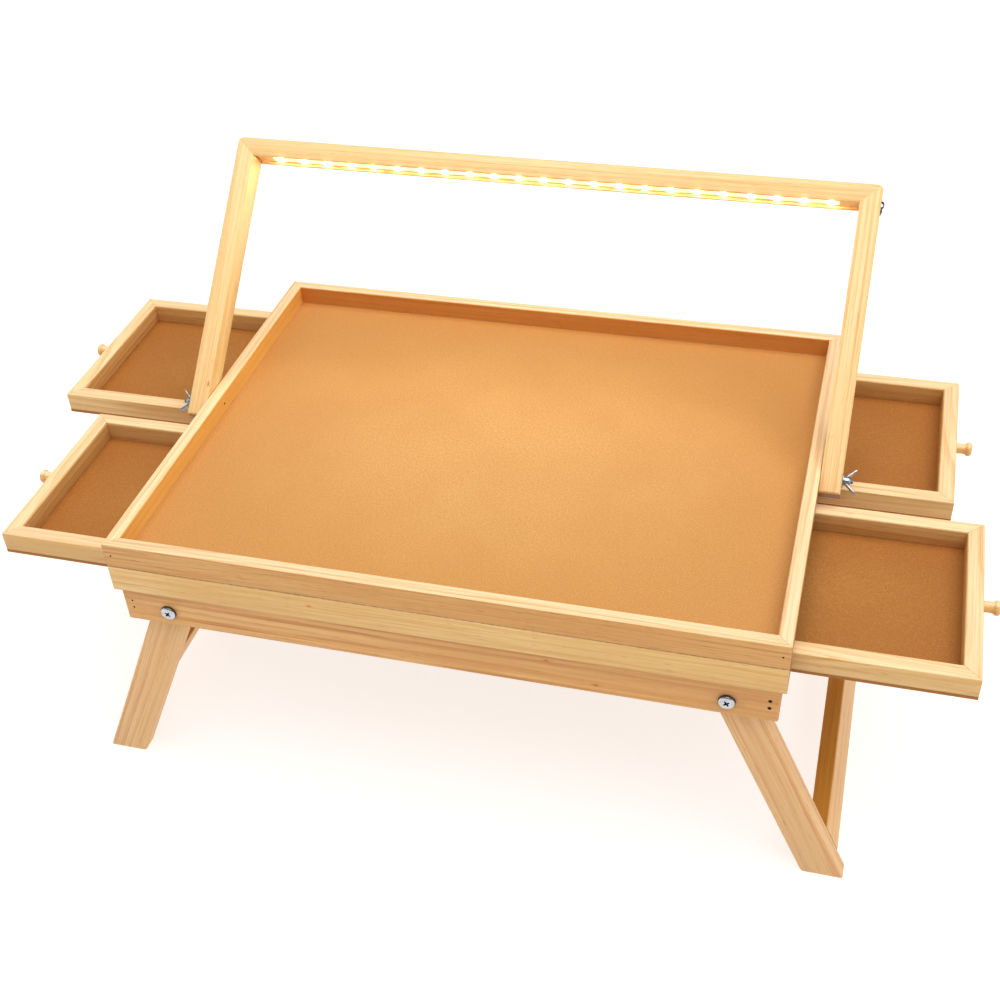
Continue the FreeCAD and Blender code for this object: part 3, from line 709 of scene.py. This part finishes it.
def knobs():
    """Turned knobs with a waisted neck, a bead and a dished end: one is turned, the rest copied."""
    first = None
    for drawer in DRAWERS:
        node = f"drawer_{drawer}_knob"
        low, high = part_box(node)
        out = X if "right" in drawer else -X
        seat = Vector((low.x if "right" in drawer else high.x, middle(node).y, middle(node).z))
        if first is None:
            first_seat, first_out = seat, out
            first = piece = lathe(node + "_turned", KNOB_PROFILE, seat, out, 56)
        else:
            flip = mirror(out.dot(first_out), 1, 1)
            move = Matrix.Translation(seat) @ flip @ Matrix.Translation(-first_seat)
            piece = copy_of(first, node + "_turned", move)
        finish_mesh(piece, 50)
        fit(piece, node, pine(node, "cream", X))


# ---------------------------------------------------------------- bolts and studs

THREAD_PITCH = 1.0                # the thread is in millimetres, as the lathe's steps are
THREAD_CREST = 0.25               # from a turn's start to the end of its crest
THREAD_ROOT = 0.6                 # and to its root
THREAD_DEPTH = 0.45

BOLT_PROFILE = [
    (0, 2.4), (0.05, 5.2), (0.25, 7.2), (0.7, 8.5), (1.4, 9.3), (2.2, 9.7), (3.0, 9.8),
    (4.1, 9.8), (4.5, 9.6), (4.6, 9.2), (4.6, 3.0), (36, 3.0),
]
BOLT_HEAD = mm(9.8)               # radius of the head
BOLT_TIP = (52.9, 2.5)
RECESS_SPAN = mm(10.4)            # the cross in the head, from end to end
RECESS_WIDTH = mm(2.7)
RECESS_DEPTH = mm(2.9)
RECESS_TURN = 38                  # degrees
CHROME, SHADOW, RIM = 0, 1, 2     # the bolt's materials

STUD_BITE = mm(14)                # length of a lamp stud inside the tray rail


def thread_turns(start, end, radius):
    """The turns of a thread as steps for the lathe, from start to end along the axis."""
    steps = []
    while start < end:
        steps += [(start, radius), (start + THREAD_CREST, radius),
                  (start + THREAD_ROOT, radius - THREAD_DEPTH)]
        start += THREAD_PITCH
    return [step for step in steps if step[0] < end] + [(end, radius)]


def cross_recess(piece, face_centre, direction):
    """Cuts a tapering cross for a screwdriver into the head, which looks in this direction."""
    cutters = []
    for turn in (0, 90):
        roll = Euler((0, 0, math.radians(RECESS_TURN + turn))).to_quaternion()
        select_none()
        bpy.ops.mesh.primitive_cube_add(
            size=1, location=face_centre,
            rotation=(direction.to_track_quat("Z", "Y") @ roll).to_euler(),
            scale=(RECESS_SPAN, RECESS_WIDTH, RECESS_DEPTH * 2),
        )
        cutter = bpy.context.active_object
        edit(cutter)
        inward = (cutter.matrix_world.to_3x3().inverted() @ -direction).normalized()
        pick_faces(cutter, lambda centre, normal: normal.dot(inward) > 0.9)
        bpy.ops.transform.resize(value=(0.5, 0.5, 0.5),
                                 center_override=face_centre - direction * RECESS_DEPTH)
        leave_edit()
        finish_mesh(cutter)
        cutters.append(cutter)
    for cutter in cutters:
        add_modifier(piece, "BOOLEAN", object=cutter, operation="DIFFERENCE", solver="EXACT")
        bpy.data.objects.remove(cutter)


def leg_bolts():
    """Truss-headed bolts with a cross recess; their ends come out of the nuts."""
    low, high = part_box("leg_bolts")
    seat = Vector((high.x - BOLT_HEAD, low.y, (low.z + high.z) / 2))
    profile = BOLT_PROFILE + thread_turns(36, 52.3, 3.0) + [BOLT_TIP]
    bolt = lathe("leg_bolt_front_right", profile, seat, Y, 64)
    finish_mesh(bolt)
    cross_recess(bolt, seat - Y * mm(0.1), -Y)
    finish_mesh(bolt)
    for finish in ("bolt_chrome", "recess_shadow", "rim_dark_reflection"):
        bolt.data.materials.append(metal(finish))
    for face in bolt.data.polygons:
        from_axis = (face.center - seat).cross(Y).length
        depth = (face.center - seat).dot(Y)
        if from_axis < mm(5.4) and mm(0.12) < depth < mm(3.2):
            face.material_index = SHADOW
        # The rounded rim of the head gets a painted dark reflection.
        elif from_axis > mm(9.25) and depth < mm(5):
            face.material_index = RIM
        else:
            face.material_index = CHROME
    pieces = [bolt]
    for corner, signs in (("front_left", (-1, 1, 1)), ("back_right", (1, -1, 1)),
                          ("back_left", (-1, -1, 1))):
        pieces.append(copy_of(bolt, "leg_bolt_" + corner, mirror(*signs)))
    for piece in pieces:
        fit(piece, "leg_bolts")


def lamp_studs():
    """A threaded stud out of each tray rail, through the lamp leg, the washer and the wing nut."""
    low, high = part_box("lamp_studs")
    rail_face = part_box("tray_rail_right")[1].x
    seat = Vector((rail_face - STUD_BITE, (low.y + high.y) / 2, (low.z + high.z) / 2))
    length = (high.x - seat.x) * 1000
    steps = [(0, 2.6), (0.4, 3.0)] + thread_turns(0.5, length - 0.6, 2.99) + [(length, 2.5)]
    stud = lathe("lamp_stud_right", steps, seat, X, 40)
    finish_mesh(stud, 25)
    other = copy_of(stud, "lamp_stud_left", mirror(-1, 1, 1))
    zinc = metal("zinc_thread")
    for piece in (stud, other):
        fit(piece, "lamp_studs", zinc)


# ---------------------------------------------------------------- wing nuts

BOSS_PROFILE = [
    (0, 3.05), (0, 5.6), (0.35, 6.0), (3.4, 6.0), (5.4, 5.8), (6.9, 5.2), (8.0, 4.4), (8.5, 3.9),
    (8.5, 3.5), (8.1, 3.05), (0, 3.05),
]
WING_TURN = math.radians(53)      # wings back from the vertical
WING_ROOT = (2.0, 3.0)            # out along the stud and away from it, in millimetres
WING_TIP = (15.5, 15.5)
WING_WIDTH = mm(8)
WING_THICK = mm(2.3)
WING_CORNER = mm(3.2)             # rounding of the tip's corners
WING_EDGE = mm(0.7)


def wing(seat, flip):
    """A flat flared wing, rounded at its tip; flip is 1 for the upper one and -1 for the lower."""
    root, tip = (mm(out, 0, away * flip) for out, away in (WING_ROOT, WING_TIP))
    select_none()
    bpy.ops.mesh.primitive_cube_add(
        size=1, location=seat + (root + tip) / 2,
        rotation=(tip - root).normalized().to_track_quat("Z", "Y").to_euler(),
        scale=(WING_WIDTH, WING_THICK, (tip - root).length),
    )
    piece = bpy.context.active_object
    apply_place()
    edit(piece)
    shape = bmesh.from_edit_mesh(piece.data)
    bpy.ops.mesh.select_mode(type="EDGE")
    for edge in shape.edges:
        ends = [corner.co for corner in edge.verts]
        through = (ends[0] - ends[1]).length < mm(3)
        if through and all((seat + tip - end).length < mm(5) for end in ends):
            edge.select_set(True)
    bmesh.update_edit_mesh(piece.data)
    bpy.ops.mesh.bevel(offset=WING_CORNER, segments=5)
    leave_edit()
    add_modifier(piece, "BEVEL", width=WING_EDGE, segments=3, limit_method="ANGLE",
                 angle_limit=math.radians(50))
    finish_mesh(piece)
    return piece


def wing_nuts():
    """A turned boss with two thin flared wings; the left nut is the right one's mirror image."""
    low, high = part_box("wing_nut_right")
    seat = Vector((low.x, (low.y + high.y) / 2, (low.z + high.z) / 2))
    nut = lathe("wing_nut_right_cast", BOSS_PROFILE, seat, X, 48)
    edit(nut)
    pick_faces(nut, lambda centre, normal: (centre - seat).length < mm(0.5))
    bpy.ops.mesh.delete(type="FACE")
    leave_edit()
    finish_mesh(nut)
    for flip in (1, -1):
        flared = wing(seat, flip)
        add_modifier(nut, "BOOLEAN", object=flared, operation="UNION", solver="EXACT")
        bpy.data.objects.remove(flared)
    nut.data.transform(about(seat, Matrix.Rotation(-WING_TURN, 4, "X")))
    finish_mesh(nut, 35)
    other = copy_of(nut, "wing_nut_left_cast", mirror(-1, 1, 1))
    zinc = metal("cast_zinc")
    fit(nut, "wing_nut_right", zinc)
    fit(other, "wing_nut_left", zinc)


def small_fittings():
    """Nuts, washers, and the strap for the lead with its screw, all with rounded edges, and the
    nails.
    """
    zinc = metal("zinc_plate")
    blackened = metal("blackened_steel")
    for node, material, edge in (("leg_nuts", zinc, 0.5), ("lamp_washers", zinc, 0.35),
                                 ("lamp_clip", blackened, 0.25),
                                 ("lamp_clip_screw", blackened, 0.3)):
        sanded(node, material, edge=mm(edge))
    # Nail heads: dark steel made nearly black, also as painted shade of their sunk holes.
    sunk = metal("nail_steel_dark")
    for node in ("tray_nails", "apron_nails"):
        paint_cad(node, sunk)


# ---------------------------------------------------------------- the lamp's strip

LED_PITCH = mm(33.7)


def near_a_lamp(tree, reach):
    """1 at each lamp of the strip, falling to 0 at reach along it; a lamp stands at X = 0."""
    along = part_of(tree, on_piece(tree), "X")
    step = maths(tree, "FRACT", maths(tree, "ADD", maths(tree, "DIVIDE", along, LED_PITCH), 0.5))
    distance = maths(tree, "ABSOLUTE", maths(tree, "SUBTRACT", step, 0.5))
    return spread(tree, distance, 0.0, reach / LED_PITCH, 1.0, 0.0)


def glowing(name, far, near, strength, reach, base):
    """A lit surface with its glow far from a lamp and near one, and its own colour unlit."""
    material, tree, shader = new_material(name)
    glow = blended(tree, near_a_lamp(tree, reach), linear(*far), linear(*near))
    grit = noise(tree, on_piece(tree), 1800, 2.0)
    feed(tree, shader["Emission Color"], glow)
    feed(tree, shader["Emission Strength"], strength)
    feed(tree, shader["Base Color"], linear(*base))
    feed(tree, shader["Roughness"], spread(tree, grit, 0.3, 0.7, 0.3, 0.42))
    feed(tree, shader["Normal"], bump(tree, grit, 0.1, mm(0.03)))
    return material


def lit_strip():
    """Small lamps on a white tape, lit warm white; the glow of the tape between them is painted
    light.
    """
    chips = glowing("led_lamp_lit", far=(255, 230, 172), near=(255, 242, 208), strength=110,
                    reach=mm(4), base=(240, 226, 170))
    sanded("lamp_led_chips", chips, edge=mm(0.4))
    # The tape is no lamp: its glow, brighter near each lamp, is painted light.
    paint_cad("lamp_led_tape", glowing(
        "led_tape_painted_glow", far=(255, 222, 148), near=(255, 242, 200), strength=0.95,
        reach=mm(13), base=(245, 238, 220),
    ))


# ---------------------------------------------------------------- the studio

CAMERA_PLACE = mm(430.9, -1427.7, 1088.6)
CAMERA_TURN = (49.544, 2.703, 15.273)         # degrees
CAMERA_LENS = 51.32                           # millimetres, on a 36 mm sensor
CAMERA_SHIFT = (0.0088, 0.0551)
VIEW_GAMMA = 0.8

# Suns, with the way they shine, their energy and their width in degrees.
SUNS = (
    ("broad_overhead", (-0.16, 0.1, -1), 2.6, 70),
    ("soft_left", (1, 0.12, -0.6), 0.55, 60),
    ("soft_right", (-1, 0.12, -0.6), 0.55, 60),
)


def camera():
    select_none()
    bpy.ops.object.camera_add(
        location=CAMERA_PLACE, rotation=[math.radians(angle) for angle in CAMERA_TURN],
    )
    eye = bpy.context.active_object
    eye.name = "camera"
    eye.data.sensor_width = 36
    eye.data.lens = CAMERA_LENS
    eye.data.shift_x, eye.data.shift_y = CAMERA_SHIFT
    bpy.context.scene.camera = eye
    view = bpy.context.scene.view_settings
    view.view_transform = "Standard"
    view.look = "None"
    view.gamma = VIEW_GAMMA


def studio_floor():
    """A large pale sheet under the feet, which glows a little of itself."""
    floor_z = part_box("leg_front_right")[0].z
    select_none()
    bpy.ops.mesh.primitive_plane_add(size=60, location=(0, 0, floor_z))
    floor = bpy.context.active_object
    floor.name = "studio_floor"
    edit(floor)
    bpy.ops.mesh.select_all(action="SELECT")
    bpy.ops.mesh.subdivide(number_cuts=5)
    leave_edit()
    material, tree, shader = new_material("light_table_sheet")
    shade = noise(tree, on_piece(tree), 1.5, 2.0)
    feed(tree, shader["Roughness"], spread(tree, shade, 0.3, 0.7, 0.55, 0.6))
    feed(tree, shader["Base Color"], (0.3, 0.3, 0.31, 1))
    feed(tree, shader["Specular IOR Level"], 0.1)
    feed(tree, shader["Emission Color"], (1, 0.97, 0.94, 1))
    feed(tree, shader["Emission Strength"], 0.8)
    floor.data.materials.append(material)


def studio_sky():
    """Pale walls that darken upwards light the table; behind it the studio is plain white."""
    world = bpy.data.worlds.new("studio")
    world.use_nodes = True
    bpy.context.scene.world = world
    tree = world.node_tree
    sky = tree.nodes["Background"].inputs
    height = part_of(tree, add(tree, "TexCoord").outputs["Generated"], "Z")
    pale = spread(tree, height, 0.04, 0.2, 0.9, 0.29)
    lit = add(tree, "CombineColor", {"Red": pale, "Green": pale, "Blue": pale}).outputs["Color"]
    backdrop = add(tree, "LightPath").outputs["Is Camera Ray"]
    feed(tree, sky["Color"], blended(tree, backdrop, lit, (1, 1, 1, 1)))
    feed(tree, sky["Strength"], 1.0)


def suns():
    for name, towards, energy, width in SUNS:
        select_none()
        bpy.ops.object.light_add(type="SUN", location=(0, 0, 2))
        lamp = bpy.context.active_object
        lamp.name = name
        lamp.rotation_euler = Vector(towards).to_track_quat("-Z", "Y").to_euler()
        lamp.data.energy = energy
        lamp.data.angle = math.radians(width)


def bloom():
    """A soft halo round the lit lamps, as a lens gives it."""
    scene = bpy.context.scene
    scene.use_nodes = True
    tree = scene.node_tree
    tree.nodes.clear()
    picture = tree.nodes.new("CompositorNodeRLayers")
    halo = tree.nodes.new("CompositorNodeGlare")
    halo.glare_type = "BLOOM"
    for label, value in (("Threshold", 4.0), ("Strength", 0.6), ("Size", 0.25)):
        halo.inputs[label].default_value = value
    out = tree.nodes.new("CompositorNodeComposite")
    tree.links.new(picture.outputs["Image"], halo.inputs["Image"])
    tree.links.new(halo.outputs["Image"], out.inputs["Image"])


# ---------------------------------------------------------------- making it

camera()
studio_floor()
studio_sky()
suns()
sawn_boards()
fibre_boards()
knobs()
leg_bolts()
lamp_studs()
small_fittings()
wing_nuts()
tenons()
lit_strip()
bloom()
